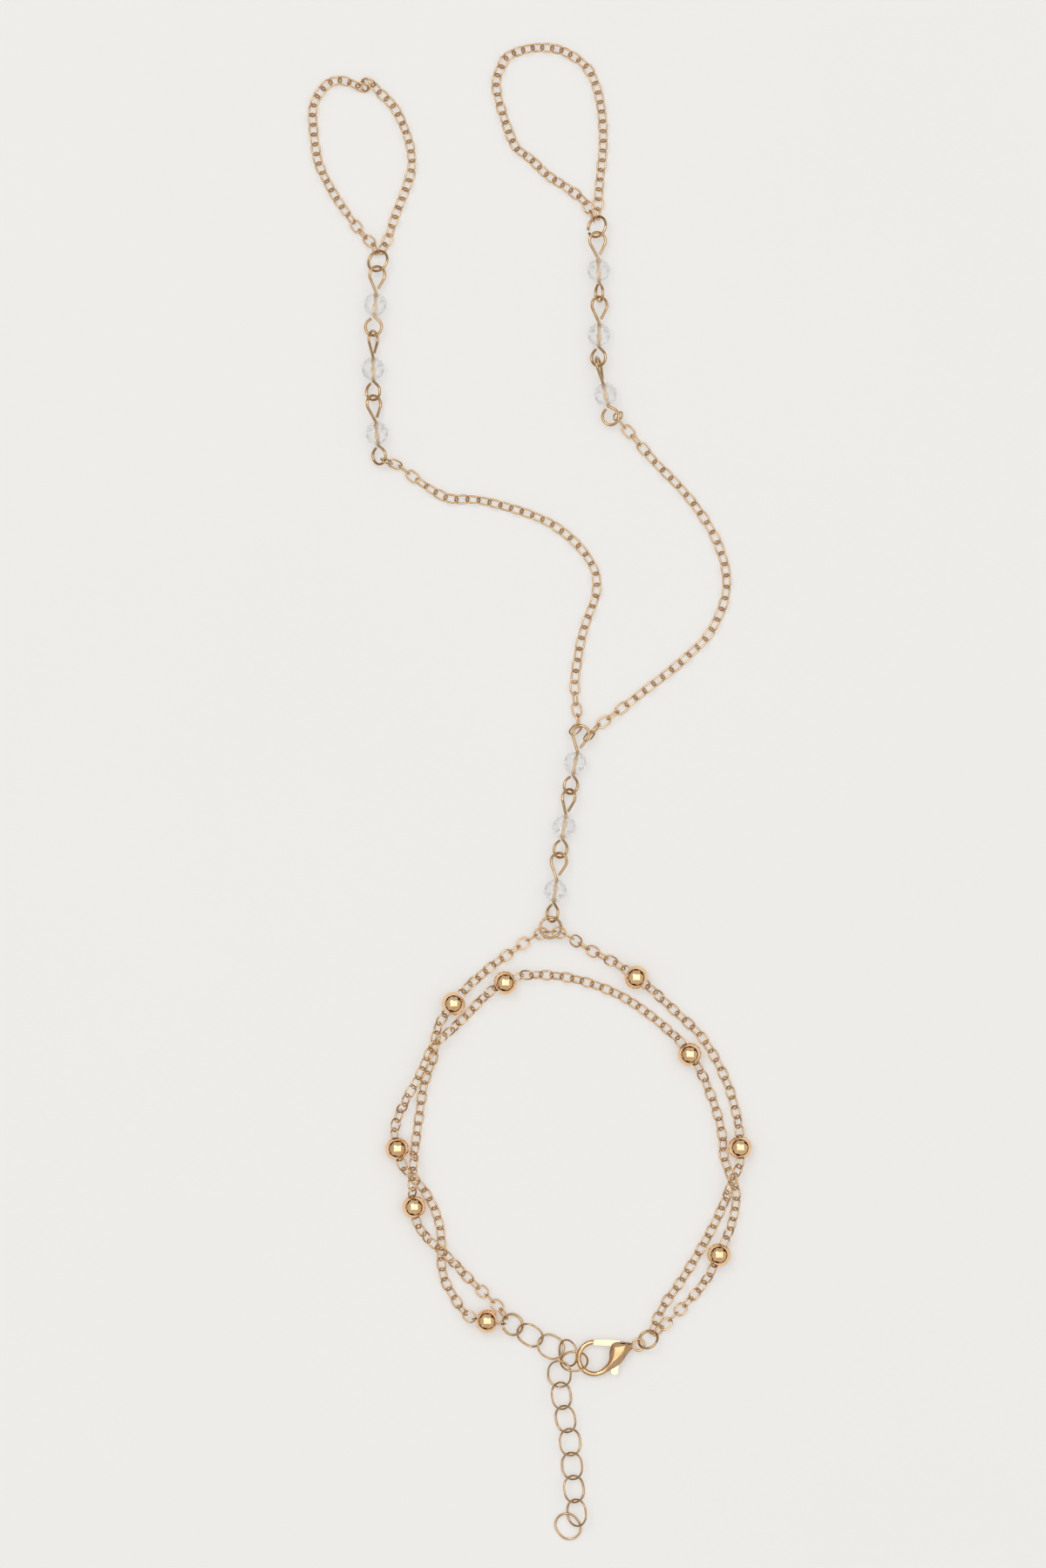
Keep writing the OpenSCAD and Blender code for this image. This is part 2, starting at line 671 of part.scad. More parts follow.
// The lever's slot: open above for the gate and below for the thumb nub
slot_outline = [
    [0.96, -1.31], [0.96, -0.63], [1.09, -0.39], [1.18, 0.31], [0.87, 0.31], [0.87, 1.31],
    [1.97, 1.31], [1.83, 0.44], [2.45, -1.05], [2.45, -1.31],
];
clasp_eye = hook_r * [2.75, 0.83];
clasp_eye_d = 2;
clasp_eye_wire = 0.36;
// The lever: the outlines of its gate and of its arm, the boss round its pin and its thumb nub
gate_outline = [
    [-0.07, 0.845], [-0.015, 1.125], [0.65, 1.16], [1.53, 1.09], [1.72, 0.92], [1.44, 0.52],
    [1, 0.775],
];
arm_outline = [[1.245, 0.52], [1.615, 0.61], [1.46, -0.79], [1.09, -0.79]];
hinge_boss_share = 0.31;
nub = [1.253, -0.82];
nub_share = 0.22;
// Length of the lever's pin as a share of the clasp's thickness
pin_share = 0.85;

function section(s) = [
    for (p = [[3, 5, 1], [2, 4, 1], [1, 4, 1], [0, 5, 1], [0, 5, -1], [1, 4, -1], [2, 4, -1], [3, 5, -1]])
        [hook_r * s[p[0]].x, hook_r * s[p[0]].y, p[2] * s[p[1]] * clasp_t / 2]
];
function root_section(s) =
    section([
        for (d = [-1, -ridge_share, ridge_share, 1]) (1 + d * s[1]) * [cos(s[0]), sin(s[0])],
        s[2], s[3]
    ]);

module clasp_body() {
    color(gold) at(clasp) {
        difference() {
            loft(concat(
                [for (s = body_sections) section(s)], [for (s = root_sections) root_section(s)]
            ));
            linear_extrude(lever_t + 2 * lever_clear, center = true)
                polygon(placed(slot_outline));
            pin_rod(clasp_pin_d + 2 * press_gap, 2 * clasp_t);
        }
        difference() {
            rotate([0, 0, 90])
                rotate_extrude(angle = 270 + hook_root_angle, $fn = smooth_sides * 2)
                    translate([hook_r, 0])
                        circle(d = hook_wire, $fn = wire_sides);
            linear_extrude(clasp_t, center = true) polygon(placed(tip_cut));
        }
        translate([clasp_eye.x, clasp_eye.y, 0])
            ring(ring_r(clasp_eye_d, clasp_eye_wire), clasp_eye_wire);
    }
}

module pin_rod(d, h) {
    translate([hinge.x, hinge.y, 0]) cylinder(d = d, h = h, center = true, $fn = smooth_sides);
}

module clasp_lever() {
    color(gold) at(clasp)
        difference() {
            union() {
                lever_round(hinge, hinge_boss_share * hook_r);
                lever_round(hook_r * nub, nub_share * hook_r);
                lever_plate(placed(arm_outline));
                lever_plate(placed(gate_outline));
            }
            pin_rod(clasp_pin_d + 2 * lever_clear, 2 * clasp_t);
        }
}

module lever_round(middle, r) {
    translate([middle.x, middle.y, 0])
        cylinder(r = r, h = lever_t, center = true, $fn = smooth_sides);
}

module lever_plate(outline) {
    linear_extrude(lever_t, center = true) polygon(outline);
}

module clasp_pin() {
    color(gold) at(clasp) pin_rod(clasp_pin_d, pin_share * clasp_t);
}

// Directions in which the hand chains leave the outer loops of the strings
left_exit_angle = -40;
right_exit_angle = -50;
centre_exit_angles = [100, 32];

finger_chain(finger_ring_left, finger_exit_angles_left, finger_route_left);  // finger_chain_left
finger_chain(finger_ring_right, finger_exit_angles_right, finger_route_right);  // finger_chain_right
hand_chain(  // hand_chain_left
        far_end(left_start, left_string, left_exit_angle), hand_route_left,
        far_end(centre_start, centre_string, centre_exit_angles[0])
    );
hand_chain(  // hand_chain_right
        far_end(right_start, right_string, right_exit_angle), hand_route_right,
        far_end(centre_start, centre_string, centre_exit_angles[1])
    );
jump_ring(finger_ring_left, finger_ring_r, 100);
jump_ring(finger_ring_right, finger_ring_r, 283, open_cut);
jump_ring(centre_ring, centre_ring_r, 60);
jump_ring(end_ring, end_ring_r, 222, 2 * ring_cut);
jump_ring(clasp_ring, clasp_ring_r, -58);
for (n = [0:2]) {
    at(crystal_pose(left_start, left_string, n)) cut_crystal();
    at(crystal_pose(right_start, right_string, n)) cut_crystal();
    at(crystal_pose(centre_start, centre_string, n)) cut_crystal();
    at(crystal_pose(left_start, left_string, n)) eye_pin(left_string[n]);
    at(crystal_pose(right_start, right_string, n)) eye_pin(right_string[n]);
    at(crystal_pose(centre_start, centre_string, n)) eye_pin(centre_string[n]);
}
color(gold) strand_links(outer_strand, outer_count, outer_twists, outer_pins);  // wrist_chain_outer
color(gold) strand_links(inner_strand, inner_count, inner_twists, []);  // wrist_chain_inner
for (n = [0:3])
    gold_bead(outer_strand, outer_beads[n]);
for (n = [0:4])
    gold_bead(inner_strand, inner_beads[n]);
for (n = [0:11])
    extension_link(n);
clasp_body();
clasp_lever();
clasp_pin();
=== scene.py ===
# %% [markdown]
# The hand chain bracelet lies flat on a pale table and is seen from straight above. The CAD
# model already holds every ring, eye pin, crystal, bead and wrist link at its real size, so
# this script dresses it: metal and crystal finishes, the true links of the four finest
# chains, the clasp's smooth castings, and the light that polished metal needs. All of it
# could be made by hand in Blender's window, but in a script each cell makes one thing, says
# what it made, and can be changed later without undoing the rest.

# %% Frame
import math
import random

import bmesh
import bpy
import numpy as np
from mathutils import Matrix, Vector


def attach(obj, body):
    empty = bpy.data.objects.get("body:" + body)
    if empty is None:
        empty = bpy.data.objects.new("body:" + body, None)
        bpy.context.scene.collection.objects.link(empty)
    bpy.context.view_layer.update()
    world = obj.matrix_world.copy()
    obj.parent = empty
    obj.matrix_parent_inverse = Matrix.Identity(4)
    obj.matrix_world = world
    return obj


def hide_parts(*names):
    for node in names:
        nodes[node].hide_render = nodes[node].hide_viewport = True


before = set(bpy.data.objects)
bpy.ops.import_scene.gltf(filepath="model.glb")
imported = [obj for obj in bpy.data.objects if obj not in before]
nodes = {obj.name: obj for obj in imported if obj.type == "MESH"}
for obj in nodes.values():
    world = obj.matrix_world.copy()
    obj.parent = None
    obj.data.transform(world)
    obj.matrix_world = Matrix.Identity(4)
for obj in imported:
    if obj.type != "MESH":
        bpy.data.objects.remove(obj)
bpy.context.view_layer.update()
MM = 0.001
BODY = "bracelet"
print(f"{len(nodes)} CAD nodes")

# %% [markdown]
# The camera looks straight down. A camera close to the table would see the outer beads from
# the side, and an orthographic one would see no depth at all, so this one stands well off
# and has a long lens. Its field is worked out from the photograph's frame: 1200 by 1799
# pixels at 8 pixels to a millimetre.

# %% Camera
PIXELS_PER_MM = 8
FRAME_PIXELS = (1200, 1799)
# The pixel at which the bracelet's own origin lies
ORIGIN_PIXEL = (608, 908)
CAMERA_HEIGHT = 1.4
SENSOR_HEIGHT = 36
NEAREST_SEEN = 0.01


def add_object(name, data):
    """An object that shows the data, put into the scene."""
    thing = bpy.data.objects.new(name, data)
    bpy.context.collection.objects.link(thing)
    return thing


view = add_object("camera", bpy.data.cameras.new("camera"))
field_height = FRAME_PIXELS[1] / PIXELS_PER_MM * MM
view.location = (
    (FRAME_PIXELS[0] / 2 - ORIGIN_PIXEL[0]) / PIXELS_PER_MM * MM,
    (ORIGIN_PIXEL[1] - FRAME_PIXELS[1] / 2) / PIXELS_PER_MM * MM,
    CAMERA_HEIGHT,
)
view.data.sensor_fit = "VERTICAL"
view.data.sensor_height = SENSOR_HEIGHT
view.data.lens = SENSOR_HEIGHT * CAMERA_HEIGHT / field_height
view.data.clip_start = NEAREST_SEEN
bpy.context.scene.camera = view
print(f"lens {view.data.lens:.0f} mm")

# %% [markdown]
# A finish is a tree of nodes. The trees could be wired up node by node, but shader maths
# reads best as maths. Values wraps one socket, and its operators add the Math nodes, so
# 1 - mask * 0.5 makes two of them.

# %% Shader expressions
class Values:
    """A number that changes over a surface, for use in Python expressions."""

    def __init__(self, recipe, socket):
        self.recipe = recipe
        self.socket = socket

    def maths(self, operation, *inputs):
        node = self.recipe.add("ShaderNodeMath", {"operation": operation}, dict(enumerate(inputs)))
        return Values(self.recipe, node.outputs[0])

    def __add__(self, other):
        return self.maths("ADD", self, other)

    def __sub__(self, other):
        return self.maths("SUBTRACT", self, other)

    def __rsub__(self, other):
        return self.maths("SUBTRACT", other, self)

    def __mul__(self, other):
        return self.maths("MULTIPLY", self, other)

    def __truediv__(self, other):
        return self.maths("DIVIDE", self, other)

    def __rtruediv__(self, other):
        return self.maths("DIVIDE", other, self)

    def __abs__(self):
        return self.maths("ABSOLUTE", self)

    __radd__ = __add__
    __rmul__ = __mul__

    def larger(self, other):
        return self.maths("MAXIMUM", self, other)

    def between(self, low, high):
        """0 below low, 1 above high, and a smooth step from one to the other."""
        node = self.recipe.add(
            "ShaderNodeMapRange",
            {"interpolation_type": "SMOOTHSTEP"},
            {"Value": self, "From Min": low, "From Max": high},
        )
        return Values(self.recipe, node.outputs[0])


# %% [markdown]
# Recipe is the node tree of one finish, or of the studio round the table. Its add method
# makes any node from its type, its settings and what goes into its sockets. A Mix node has
# a set of sockets for each kind of thing that it mixes, so its sockets for colours go by
# their places in its list.

# %% Node recipes
MIX_SHARE, MIX_FIRST, MIX_SECOND, MIX_RESULT = 0, 6, 7, 2


class Recipe:
    """The nodes of one material, or of the world."""

    def __init__(
        self, name, kinds=bpy.data.materials, shader="Principled BSDF", output="Material Output"
    ):
        self.owner = kinds.new(name)
        self.owner.use_nodes = True
        self.tree = self.owner.node_tree
        self.shader = self.tree.nodes[shader]
        self.output = self.tree.nodes[output]

    def add(self, kind, settings=None, inputs=None):
        node = self.tree.nodes.new(kind)
        for name, value in (settings or {}).items():
            setattr(node, name, value)
        for name, value in (inputs or {}).items():
            self.put(node.inputs[name], value)
        return node

    def put(self, socket, value):
        """Links a value from another socket, or sets a constant on the socket itself."""
        if isinstance(value, Values):
            value = value.socket
        if isinstance(value, bpy.types.NodeSocket):
            self.tree.links.new(value, socket)
        else:
            socket.default_value = value

    def noise(self, size, detail, at=None):
        """Noise from 0 to 1 whose patches are about size across, in metres in the frame."""
        at = at or self.add("ShaderNodeTexCoord").outputs["Object"]
        node = self.add(
            "ShaderNodeTexNoise", None, {"Vector": at, "Scale": 1 / size, "Detail": detail}
        )
        return Values(self, node.outputs[0])

    def mix(self, share, first, second):
        node = self.add("ShaderNodeMix", {"data_type": "RGBA"}, {MIX_SHARE: share})
        self.put(node.inputs[MIX_FIRST], first)
        self.put(node.inputs[MIX_SECOND], second)
        return node.outputs[MIX_RESULT]

    def uneven(self, grain, strength, height):
        """Lights the surface as if its height differed by up to grain, in metres."""
        bump = self.add(
            "ShaderNodeBump", None, {"Strength": strength, "Distance": grain, "Height": height}
        )
        self.put(self.shader.inputs["Normal"], bump.outputs[0])

    def finish(self, **sockets):
        """Sets the sockets of the main shader, named with underscores for spaces."""
        for name, value in sockets.items():
            self.put(self.shader.inputs[name.replace("_", " ")], value)
        return self.owner


def rgb(code):
    """A colour written as in a paint program, in the linear light that shaders use."""
    parts = [int(code[i : i + 2], 16) / 255 for i in (0, 2, 4)]
    return [p / 12.92 if p < 0.04045 else ((p + 0.055) / 1.055) ** 2.4 for p in parts] + [1]


# %% [markdown]
# Rose gold plate is a mirror with a colour, so a plain metal shader comes close at once. What
# makes it look real is how little it varies: the plate is a touch paler in patches a
# millimetre wide, and tumbling leaves it finely uneven. All of that is noise at its scale.
# Five golds share one recipe, because drawn wire is less smooth than a cast clasp or a
# polished bead. The lever's gold is the palest of all: it is a painted highlight, a paler
# copy of the clasp's cast gold so that the lever's top shows white.

# %% Gold
PATCHES, TUMBLED = 1.3 * MM, 0.16 * MM
PALE_UNTIL, DEEP_FROM = 0.35, 0.7
# How much the patches and the tumbled grain add to the least roughness
PATCHES_DULL, TUMBLED_DULL = 0.05, 0.03
BUMP_STRENGTH = 0.5
# Pale colour, deep colour, least roughness and the height of the grain in millimetres
GOLDS = {
    "wire": ("DFBD8E", "CDA272", 0.08, 0.005),
    "ring": ("D3B183", "BB9464", 0.06, 0.005),
    "cast": ("DEB98D", "C8A073", 0.06, 0.004),
    "bead": ("FAD2A4", "F0C08C", 0.02, 0.003),
    # The lever's colours are a painted highlight: a paler copy of the cast gold, not a paler metal
    "lever": ("FBDDB8", "F3CEA4", 0.05, 0.003),
}


def rose_gold(name, pale, deep, polish, grain):
    recipe = Recipe("rose_gold_" + name)
    patches = recipe.noise(PATCHES, detail=2)
    tumbled = recipe.noise(TUMBLED, detail=4)
    recipe.uneven(grain * MM, BUMP_STRENGTH, tumbled)
    return recipe.finish(
        Base_Color=recipe.mix(patches.between(PALE_UNTIL, DEEP_FROM), rgb(pale), rgb(deep)),
        Metallic=1.0,
        Roughness=polish + PATCHES_DULL * patches + TUMBLED_DULL * tumbled,
    )


gold = {name: rose_gold(name, *look) for name, look in GOLDS.items()}
print(f"golds: {', '.join(gold)}")

# %% [markdown]
# A cut crystal is clear: what shows is the bright and dark that each facet bends into view.
# Plain glass of crystal's index gives that, but glass alone lets no light straight through,
# so its shadow is dark and the gold wire in its hole is hidden. A share of see-through
# shader lets both show as they do on the real one.

# %% Crystal
CRYSTAL_INDEX = 1.54
CLEAR_SHARE = 0.5
SCUFFS = 0.5 * MM
SCUFFED_FROM, SCUFFED_ALL = 0.5, 0.8
SCUFF_ROUGHNESS = 0.03
CLEAR, COOL_CLEAR = (1, 1, 1, 1), (0.985, 0.99, 1, 1)


def crystal(name):
    recipe = Recipe(name)
    scuffs = recipe.noise(SCUFFS, detail=5)
    through = recipe.add("ShaderNodeBsdfTransparent", None, {"Color": rgb("FEFEFE")})
    shaders = {0: CLEAR_SHARE, 1: recipe.shader.outputs[0], 2: through.outputs[0]}
    blend = recipe.add("ShaderNodeMixShader", None, shaders)
    recipe.put(recipe.output.inputs["Surface"], blend.outputs[0])
    return recipe.finish(
        Base_Color=recipe.mix(scuffs, CLEAR, COOL_CLEAR),
        Roughness=SCUFF_ROUGHNESS * scuffs.between(SCUFFED_FROM, SCUFFED_ALL),
        Transmission_Weight=1.0,
        IOR=CRYSTAL_INDEX,
    )


clear_crystal = crystal("clear_crystal")
print(f"{clear_crystal.name}: {CLEAR_SHARE:.0%} see-through")

# %% [markdown]
# The rings, eye pins, crystals, beads, wrist links and the lever are real solids in the CAD
# model. Drawing them again would only lose their fit, so they keep their shape and take a
# finish, which goes by what each one is called.

# %% Finishes on the CAD nodes
# The first of these words that is in a node's name gives its finish; all other nodes are wire
FINISHES = {
    "crystal": clear_crystal,
    "wrist_bead": gold["bead"],
    "clasp_lever": gold["lever"],
    "eye_pin": gold["ring"],
    "extension": gold["ring"],
    "_ring": gold["ring"],
    "clasp": gold["cast"],
}


def finish_of(name):
    for word, finish in FINISHES.items():
        if word in name:
            return finish
    return gold["wire"]


for name, node in nodes.items():
    node.data.materials.clear()
    node.data.materials.append(finish_of(name))
print(f"{len(nodes)} nodes have a finish")

# %% [markdown]
# Each of the four finest chains is a plain tube in the CAD model. The real ones are oval
# links, each turned about a quarter turn from the last, so none lies flat: on a table they
# lean to one side and the other in turn. An end link hangs on a ring or an eye pin, and its
# place could be typed in, but then it would miss when the CAD moves. So one function finds
# the middle of the wire in the CAD node's own mesh.

# %% Where a chain hangs
CENTRING_STEPS = 8


def corners(name):
    """The corners of a CAD node's mesh, one in each row."""
    places = np.empty(len(nodes[name].data.vertices) * 3)
    nodes[name].data.vertices.foreach_get("co", places)
    return places.reshape(-1, 3)


def wire_at(name, x, y, wire):
    """The middle of a node's wire nearest to a place seen from above, and the wire's run there."""
    points = corners(name)
    flat = points[:, :2] - np.array([x, y]) * MM
    middle = points[np.argmin((flat**2).sum(1))]
    for _ in range(CENTRING_STEPS):
        near = points[np.linalg.norm(points - middle, axis=1) < wire * MM]
        middle = near.mean(0)
    # The direction in which the nearby points spread the most is the wire's run
    run = np.linalg.svd(near - middle)[2][0]
    return middle, run


# %% [markdown]
# A link is an oval ring of round wire: two half circles joined by straight sides. A curve
# object with a round bevel would draw it too. It is a mesh here, because all links of a
# chain are joined into one mesh, and the points of one link are simply used again.

# %% One link
WIRE_SIDES = 12
BEND_STEPS = 18


def wire_circle(centre, out, wire, sides):
    """Points round a wire, where out is level and points across the wire."""
    turns = [2 * math.pi * j / sides for j in range(sides)]
    up = Vector((0, 0, 1))
    return [centre + wire / 2 * (math.cos(turn) * out + math.sin(turn) * up) for turn in turns]


def tube_faces(rings, sides, closed):
    """Faces between the rings of points of a tube; a closed one's last ring meets its first."""
    return [
        (
            i * sides + j,
            (i + 1) % rings * sides + j,
            (i + 1) % rings * sides + (j + 1) % sides,
            i * sides + (j + 1) % sides,
        )
        for i in range(rings if closed else rings - 1)
        for j in range(sides)
    ]


def link_mesh(length, width, wire):
    """Corners and faces of a link that lies in the XY plane along X, in millimetres."""
    r = (width - wire) / 2
    side = (length - width) / 2
    line = [
        (half * side + r * math.cos(a), r * math.sin(a))
        for half, start in ((1, -90), (-1, 90))
        for a in [math.radians(start + 180 * i / BEND_STEPS) for i in range(BEND_STEPS + 1)]
    ]
    points = []
    for i, (x, y) in enumerate(line):
        (ax, ay), (bx, by) = line[i - 1], line[(i + 1) % len(line)]
        run = Vector((bx - ax, by - ay, 0)).normalized()
        points += wire_circle(Vector((x, y, 0)), Vector((run.y, -run.x, 0)), wire, WIRE_SIDES)
    return np.array(points), np.array(tube_faces(len(line), WIRE_SIDES, closed=True))


# %% [markdown]
# A chain lies along a smooth line through a few chosen points. Its links could be let fall
# by a physics simulation, but then they wouldn't lie where the photograph has them. So they
# are set along the line at equal steps, and each link runs from one joint to the next.

# %% A smooth line and equal steps along it
CURVE_STEPS = 10


def smooth(points, steps=CURVE_STEPS):
    """A curve that passes through the points, with so many steps from one to the next."""
    p = np.array([points[0], *points, points[-1]])
    curve = []
    for i in range(1, len(p) - 2):
        a, b, c, d = p[i - 1], p[i], p[i + 1], p[i + 2]
        for t in np.arange(steps) / steps:
            curve.append(
                0.5
                * (
                    2 * b
                    + (c - a) * t
                    + (2 * a - 5 * b + 4 * c - d) * t**2
                    + (3 * b - a - 3 * c + d) * t**3
                )
            )
    return np.array(curve + [p[-1]])


def distances(curve):
    """How far along the curve each of its points is."""
    return np.concatenate([[0], np.cumsum(np.linalg.norm(np.diff(curve, axis=0), axis=1))])


def even_steps(curve, count):
    """Count + 1 points at equal steps along the curve."""
    run = distances(curve)
    at = np.linspace(0, run[-1], count + 1)
    return np.stack([np.interp(at, run, curve[:, k]) for k in range(3)], axis=1)


# %% [markdown]
# The end joints sit just past the wires that hold the chain, so that the end links go round
# those wires. The chain rests as high above the table as its leaning links are deep.

# %% The joints between the links
LINK_WIRE = 0.26
SLACK = 0.12
LEAN = 37
# The height at rest allows for links that lean this much more
LEAN_SPARE = 6
TABLE_GAP = 0.02
# An end joint keeps this share of the slope from the wire down to the route's first point
END_SLOPE = 0.5


def chain_joints(route, held, ends, width, pitch):
    """The points where links meet, and the length of each link."""
    rise = (width - LINK_WIRE) / 2 * math.sin(math.radians(LEAN + LEAN_SPARE))
    rest = rise + LINK_WIRE / 2 + TABLE_GAP
    flat = [[x, y, rest] for x, y in route]
    tips = []
    for (middle, _), inner, (_, _, _, wire) in zip(held, (flat[0], flat[-1]), ends):
        middle = middle / MM
        out = np.array(inner) - middle
        out[2] *= END_SLOPE
        tips.append(middle - out / np.linalg.norm(out) * (wire + SLACK) / 2)
    curve = smooth([tips[0], *flat, tips[1]])
    total = distances(curve)[-1]
    count = round(total / pitch)
    return even_steps(curve, count), total / count + 2 * LINK_WIRE + SLACK


# %% [markdown]
# Roll is how far a link is turned about its own run. Links lean to one side and the other,
# each a little more or less than the last by a seeded random draw, because an even row
# looks machined. Towards each end the roll turns by steps until the last link stands
# across the wire that it hangs on, as a real link does.

# %% The roll of each link
WOBBLE = 9
# Over how many links a chain turns from its lean to the wire that it hangs on
TURN_LINKS = 5


def roll_across(run, wire_run):
    """The roll of a link that stands across a wire, for a link that runs along run."""
    left = np.array([-run[1], run[0], 0]) / np.hypot(run[0], run[1])
    up = np.cross(run, left) / np.linalg.norm(run)
    return math.degrees(math.atan2(wire_run @ up, wire_run @ left)) + 90


def nearer(angle, target):
    """The same roll of a link, counted in half turns so that it lies nearest to a target."""
    return angle - 180 * round((angle - target) / 180)


def chain_rolls(joints, held, seed):
    count = len(joints) - 1
    leans = [LEAN if k % 2 == 0 else -LEAN for k in range(count)]
    first = nearer(roll_across(joints[1] - joints[0], held[0][1]), leans[0])
    last = nearer(roll_across(joints[-1] - joints[-2], held[1][1]), leans[-1])
    chance = random.Random(seed)
    rolls = []
    for k, lean in enumerate(leans):
        roll = lean + chance.uniform(-WOBBLE, WOBBLE)
        for away, turn, end_lean in ((k, first, leans[0]), (count - 1 - k, last, leans[-1])):
            if away < TURN_LINKS:
                roll += (turn - end_lean) * (1 - away / TURN_LINKS)
        rolls.append(roll)
    return rolls


# %% [markdown]
# A link that leans more, or hangs from a low wire, would dip into the table. Its two joints
# are lifted by as much as it dips, a few times over, since each joint is shared by two links.

# %% Settling on the table
SETTLE_STEPS = 4


def link_placed(points, a, b, roll):
    """The corners of a link that runs from a to b, rolled about its own run in degrees."""
    run = Vector(b - a)
    turn = run.to_track_quat("X", "Z").to_matrix() @ Matrix.Rotation(math.radians(roll), 3, "X")
    return points @ np.array(turn).T + (a + b) / 2


def settled(points, joints, rolls):
    """The corners of every link, with the joints lifted until no link dips into the table."""
    last = len(rolls) - 1
    for _ in range(SETTLE_STEPS):
        links = [link_placed(points, joints[k], joints[k + 1], roll) for k, roll in enumerate(rolls)]
        dips = [max(0.0, TABLE_GAP - link[:, 2].min()) for link in links]
        for k in range(len(joints)):
            joints[k][2] += max(dips[max(k - 1, 0)], dips[min(k, last)])
    return links


# %% [markdown]
# Every link could be an object of its own, but 167 more objects would be slow to handle and
# none would ever move alone. One mesh holds a whole chain.

# %% A whole chain
def build_chain(name, route, ends, width, pitch, seed):
    """A chain's true links, as one piece. ends holds (node, x, y, wire) for its two ends."""
    held = [wire_at(*end) for end in ends]
    joints, length = chain_joints(route, held, ends, width, pitch)
    points, faces = link_mesh(length, width, LINK_WIRE)
    links = settled(points, joints, chain_rolls(joints, held, seed))
    all_points = np.concatenate(links)
    all_faces = np.concatenate([faces + k * len(points) for k in range(len(links))])
    mesh = bpy.data.meshes.new(name)
    mesh.from_pydata((all_points * MM).tolist(), [], all_faces.tolist())
    mesh.shade_smooth()
    mesh.materials.append(gold["wire"])
    piece = add_object(name, mesh)
    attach(piece, BODY)
    lowest = all_points[:, 2].min()
    print(f"{name}: {len(links)} links of {length:.2f} mm, lowest {lowest:.2f} mm")
    return piece


# %% [markdown]
# A finger loop starts and ends on its jump ring, side by side, and has one small kink where
# a link has curled up. The points are chosen along the photograph's chain, in
# millimetres, closer together where the chain turns more.

# %% Finger loops
FINGER_LINK_WIDTH = 1.6
FINGER_PITCH = 1.4
RING_WIRE = 0.38
LEFT_LOOP = [
    [-20.4, 79], [-19.5, 82], [-18.4, 84.8], [-17.3, 87.8], [-16.9, 90.2], [-17.3, 93],
    [-18.3, 95.8], [-19.7, 98.4], [-21.8, 100.4], [-23, 101.9], [-24, 101.5], [-23.5, 100.6],
    [-24.9, 101.2], [-26.6, 101.9], [-28.4, 101.8], [-30, 100.4], [-31.1, 98.2], [-31.1, 95.5],
    [-30.8, 92.7], [-30.3, 90], [-29, 87.2], [-27.6, 84.8], [-25.7, 82.1], [-23.8, 79.6],
    [-22.6, 78.6],
]
RIGHT_LOOP = [
    [9.8, 84.5], [10, 87.5], [10.4, 91], [10.5, 94.5], [10.2, 98], [9.4, 101.4], [8, 104],
    [5.6, 105.7], [3.6, 106.5], [0.6, 106.6], [-1.6, 106.1], [-3.4, 105.3], [-3.9, 104.2],
    [-4.4, 103.4], [-4.9, 101.6], [-4.4, 98.8], [-3.4, 95.6], [-2, 92.2], [0, 90.8],
    [2.4, 88.4], [5.2, 86.6], [7.6, 84.8], [8.6, 83.2],
]
left_loop = build_chain(
    "finger_links_left", LEFT_LOOP,
    [("finger_ring_left", -21.2, 77.6, RING_WIRE), ("finger_ring_left", -22.2, 77.6, RING_WIRE)],
    FINGER_LINK_WIDTH, FINGER_PITCH, seed=1,
)
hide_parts("finger_chain_left")
right_loop = build_chain(
    "finger_links_right", RIGHT_LOOP,
    [("finger_ring_right", 9.8, 82.5, RING_WIRE), ("finger_ring_right", 8.9, 82.4, RING_WIRE)],
    FINGER_LINK_WIDTH, FINGER_PITCH, seed=2,
)
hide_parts("finger_chain_right")

# %% [markdown]
# The hand chains have slightly longer links. Each hangs between the eye pins of two strings,
# and both meet on the upper eye of the centre string.

# %% Hand chains
HAND_LINK_WIDTH = 1.55
HAND_PITCH = 1.62
PIN_WIRE = 0.4
LEFT_HAND = [
    [-19, 46.8], [-16.4, 44.8], [-13.9, 43.1], [-11.5, 41.9], [-9, 41.9], [-6.5, 41.6],
    [-3.4, 40.8], [-0.2, 39.8], [2.8, 38.5], [5.5, 36.6], [7.8, 34.2], [9.4, 31.4],
    [9.5, 28.2], [8.3, 25], [7.4, 22], [6.8, 18.7], [6.4, 15.5], [6.6, 12.2], [7, 9.6],
]
RIGHT_HAND = [
    [12.7, 53.2], [15.1, 50.5], [18, 47.1], [21.2, 43.9], [24, 40.5], [26.4, 36.7],
    [27.9, 32.6], [28.2, 29.4], [27.6, 26.4], [25.7, 22.6], [23.7, 20.4], [20.4, 17.5],
    [16.9, 14.8], [13.3, 12], [10.9, 10.2], [9.3, 9],
]
left_hand = build_chain(
    "hand_links_left", LEFT_HAND,
    [("eye_pin_left_3", -20.9, 47.4, PIN_WIRE), ("eye_pin_centre_3", 6.9, 8.3, PIN_WIRE)],
    HAND_LINK_WIDTH, HAND_PITCH, seed=3,
)
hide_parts("hand_chain_left")
right_hand = build_chain(
    "hand_links_right", RIGHT_HAND,
    [("eye_pin_right_3", 12, 53.8, PIN_WIRE), ("eye_pin_centre_3", 8.2, 7.9, PIN_WIRE)],
    HAND_LINK_WIDTH, HAND_PITCH, seed=4,
)
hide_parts("hand_chain_right")

# %% [markdown]
# The lever is cast and then tumbled with the rest of the clasp, which wears its edges round.
# Its CAD solid has the right shape with sharp edges, so it stays, and a bevel modifier
# rounds what is sharper than an angle. A modifier leaves the mesh below it as it is.

# %% Soft edges on the lever
EDGE_WIDTH = 0.24 * MM
EDGE_STEPS = 5
EDGE_ANGLE = 25

